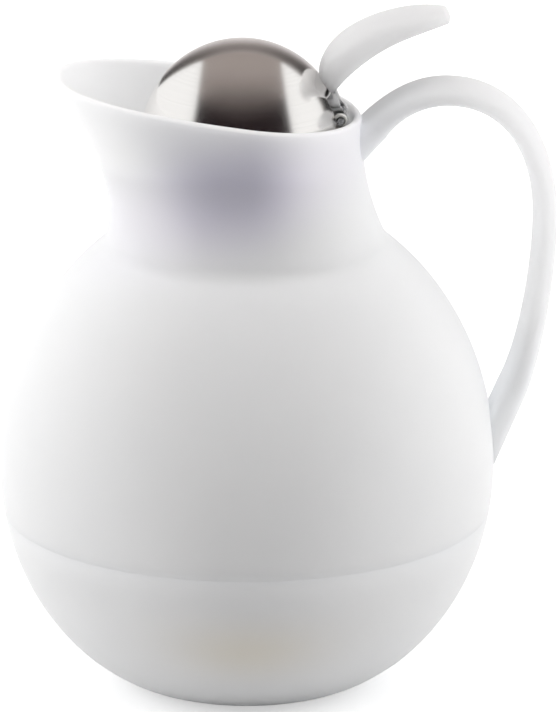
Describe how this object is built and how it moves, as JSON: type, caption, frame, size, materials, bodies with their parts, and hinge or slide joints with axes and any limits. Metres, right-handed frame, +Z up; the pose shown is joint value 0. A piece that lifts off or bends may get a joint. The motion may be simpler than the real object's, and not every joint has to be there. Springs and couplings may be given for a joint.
{
  "type": "thermal carafe",
  "caption": "Ball-shaped frosted plastic vacuum jug with a flared pouring collar, loop handle, lift-out stopper and a sprung steel dome lid opened by a thumb lever.",
  "frame": {"origin": "centre of the flat foot pad, on the table", "axes": "+Z up along the axis of the jug, spout towards -X, handle towards +X, Y across"},
  "size_m": [0.1862, 0.166, 0.2306],
  "materials": {
    "frosted_plastic": "frosted translucent white moulding",
    "white_plastic": "plain white moulding",
    "silvered_glass": "blown glass silvered on the vacuum side",
    "silicone": "soft translucent silicone",
    "satin_steel": "deep-drawn stainless steel, satin polished",
    "spring_steel": "bright drawn wire"
  },
  "bodies": {
    "carafe": {"upper_shell": "frosted_plastic", "lower_shell": "frosted_plastic", "seam_seal": "silicone", "foot_pad": "silicone", "handle": "frosted_plastic", "flask_outer": "silvered_glass", "flask_inner": "silvered_glass", "flask_spacer_1": "white_plastic", "flask_spacer_2": "white_plastic", "flask_spacer_3": "white_plastic", "flask_cushion": "silicone", "flask_gasket": "silicone"},
    "closure": {"stopper_body": "white_plastic", "stopper_seal": "silicone", "flange_gasket": "silicone", "hinge_pin": "spring_steel", "return_spring": "spring_steel"},
    "lid": {"lid_dome": "satin_steel", "lid_carrier": "white_plastic", "valve_seal": "silicone", "lever": "frosted_plastic"}
  },
  "joints": [
    {"name": "closure_lift", "type": "slide", "parent": "carafe", "child": "closure", "axis": [0, 0, 1], "range_m": [0, 0.09]},
    {"name": "lid_tilt", "type": "hinge", "parent": "closure", "child": "lid", "pos_m": [0.031, 0, 0.1945], "axis": [0, 1, 0], "range_deg": [0, 25], "stiffness_Nm_per_rad": 0.05, "springref_deg": -20.05, "deforming": ["return_spring"]}
  ]
}
